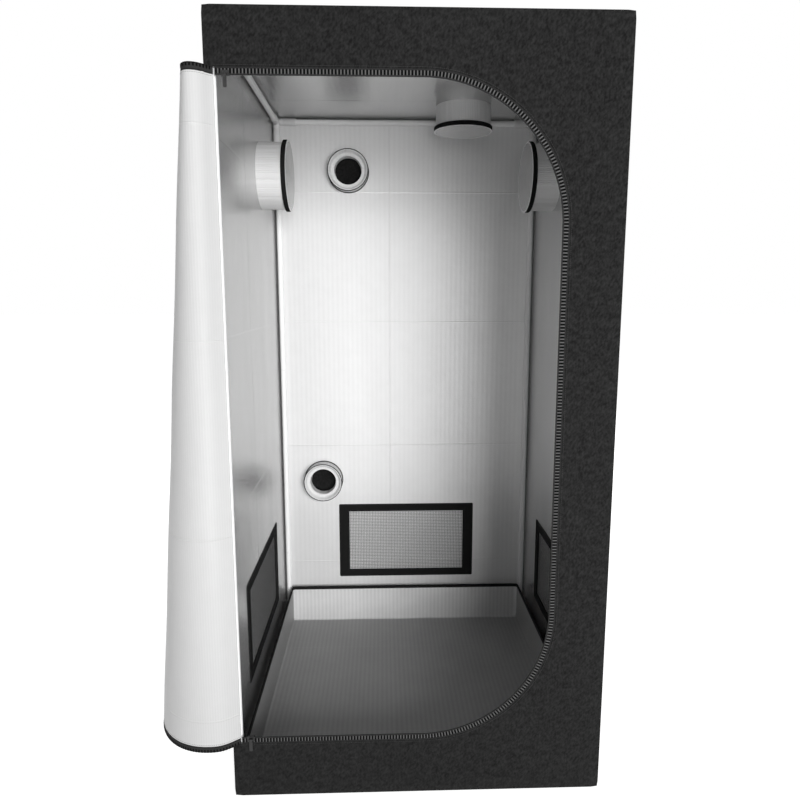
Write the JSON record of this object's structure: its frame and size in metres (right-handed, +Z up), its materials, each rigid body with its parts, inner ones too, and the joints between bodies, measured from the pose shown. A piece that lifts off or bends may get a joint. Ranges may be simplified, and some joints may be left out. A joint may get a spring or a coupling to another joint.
{
  "type": "indoor grow tent",
  "caption": "Indoor grow tent: pole frame under a two-ply cloth skin, zipped front door rolled to its hinge side, duct and cable ports, mesh vents and a floor tray.",
  "frame": {"origin": "middle of the floor cloth's underside, on the ground", "axes": "+X to the right as seen from the front, +Y to the back (the door faces -Y), +Z up"},
  "size_m": [0.9748, 0.8543, 1.6],
  "materials": {
    "pole": "smooth white powder coat on thin steel tube",
    "corner": "moulded plastic, satin",
    "cloth": "coated oxford cloth, soft matt weave",
    "lining": "glossy embossed reflective film on cloth",
    "zip_tape": "woven tape with moulded teeth",
    "webbing": "woven band, smooth",
    "net": "knitted mesh",
    "tray": "waterproof coated cloth, satin",
    "zip_metal": "black enamel"
  },
  "bodies": {
    "tent": {"post_front_left": "pole", "post_front_right": "pole", "post_back_left": "pole", "post_back_right": "pole", "top_rail_front": "pole", "top_rail_back": "pole", "top_rail_left": "pole", "top_rail_right": "pole", "bottom_rail_front": "pole", "bottom_rail_back": "pole", "bottom_rail_left": "pole", "bottom_rail_right": "pole", "corner_top_front_left": "corner", "corner_top_front_right": "corner", "corner_top_back_left": "corner", "corner_top_back_right": "corner", "corner_bottom_front_left": "corner", "corner_bottom_front_right": "corner", "corner_bottom_back_left": "corner", "corner_bottom_back_right": "corner", "front_panel": "cloth", "back_wall": "cloth", "left_wall": "cloth", "right_wall": "cloth", "roof_panel": "cloth", "floor_panel": "cloth", "front_lining": "lining", "back_lining": "lining", "left_lining": "lining", "right_lining": "lining", "roof_lining": "lining", "door_zip_chain": "zip_tape", "floor_tray": "tray", "tray_binding": "webbing", "left_duct_sock": "lining", "right_duct_sock": "lining", "roof_duct_sock": "lining", "left_duct_hem": "webbing", "right_duct_hem": "webbing", "roof_duct_hem": "webbing", "upper_cable_sleeve": "lining", "lower_cable_sleeve": "lining", "upper_cable_closure": "cloth", "lower_cable_closure": "cloth", "back_vent_frame": "webbing", "left_vent_frame": "webbing", "right_vent_frame": "webbing", "back_vent_net": "net", "left_vent_net": "net", "right_vent_net": "net"},
    "door": {"door_cloth": "cloth", "door_lining": "lining", "door_zip_tape": "zip_tape"},
    "upper_zip_slider": {"upper_slider": "zip_metal"},
    "upper_zip_pull": {"upper_pull_tab": "zip_metal"},
    "lower_zip_slider": {"lower_slider": "zip_metal"},
    "lower_zip_pull": {"lower_pull_tab": "zip_metal"},
    "back_flap": {"back_vent_flap": "cloth"},
    "left_flap": {"left_vent_flap": "cloth"},
    "right_flap": {"right_vent_flap": "cloth"}
  },
  "joints": [
    {"name": "door_swing", "type": "hinge", "parent": "tent", "child": "door", "pos_m": [-0.3805, -0.4013, 0.81], "axis": [0, 0, 1], "range_deg": [0, 110]},
    {"name": "upper_slider_travel", "type": "slide", "parent": "tent", "child": "upper_zip_slider", "axis": [1, 0, 0], "range_m": [0, 0.34]},
    {"name": "upper_pull_swing", "type": "hinge", "parent": "upper_zip_slider", "child": "upper_zip_pull", "pos_m": [-0.3585, -0.4049, 1.4796], "axis": [-1, 0, 0], "range_deg": [-8, 170]},
    {"name": "lower_slider_travel", "type": "slide", "parent": "tent", "child": "lower_zip_slider", "axis": [1, 0, 0], "range_m": [0, 0.34]},
    {"name": "lower_pull_swing", "type": "hinge", "parent": "lower_zip_slider", "child": "lower_zip_pull", "pos_m": [-0.3585, -0.4049, 0.1398], "axis": [-1, 0, 0], "range_deg": [-8, 170]},
    {"name": "back_flap_lift", "type": "hinge", "parent": "tent", "child": "back_flap", "pos_m": [0.003, 0.4009, 0.4075], "axis": [1, 0, 0], "range_deg": [0, 175]},
    {"name": "left_flap_lift", "type": "hinge", "parent": "tent", "child": "left_flap", "pos_m": [-0.4009, 0.013, 0.4075], "axis": [0, 1, 0], "range_deg": [0, 175]},
    {"name": "right_flap_lift", "type": "hinge", "parent": "tent", "child": "right_flap", "pos_m": [0.4009, 0.013, 0.4075], "axis": [0, -1, 0], "range_deg": [0, 175]}
  ]
}
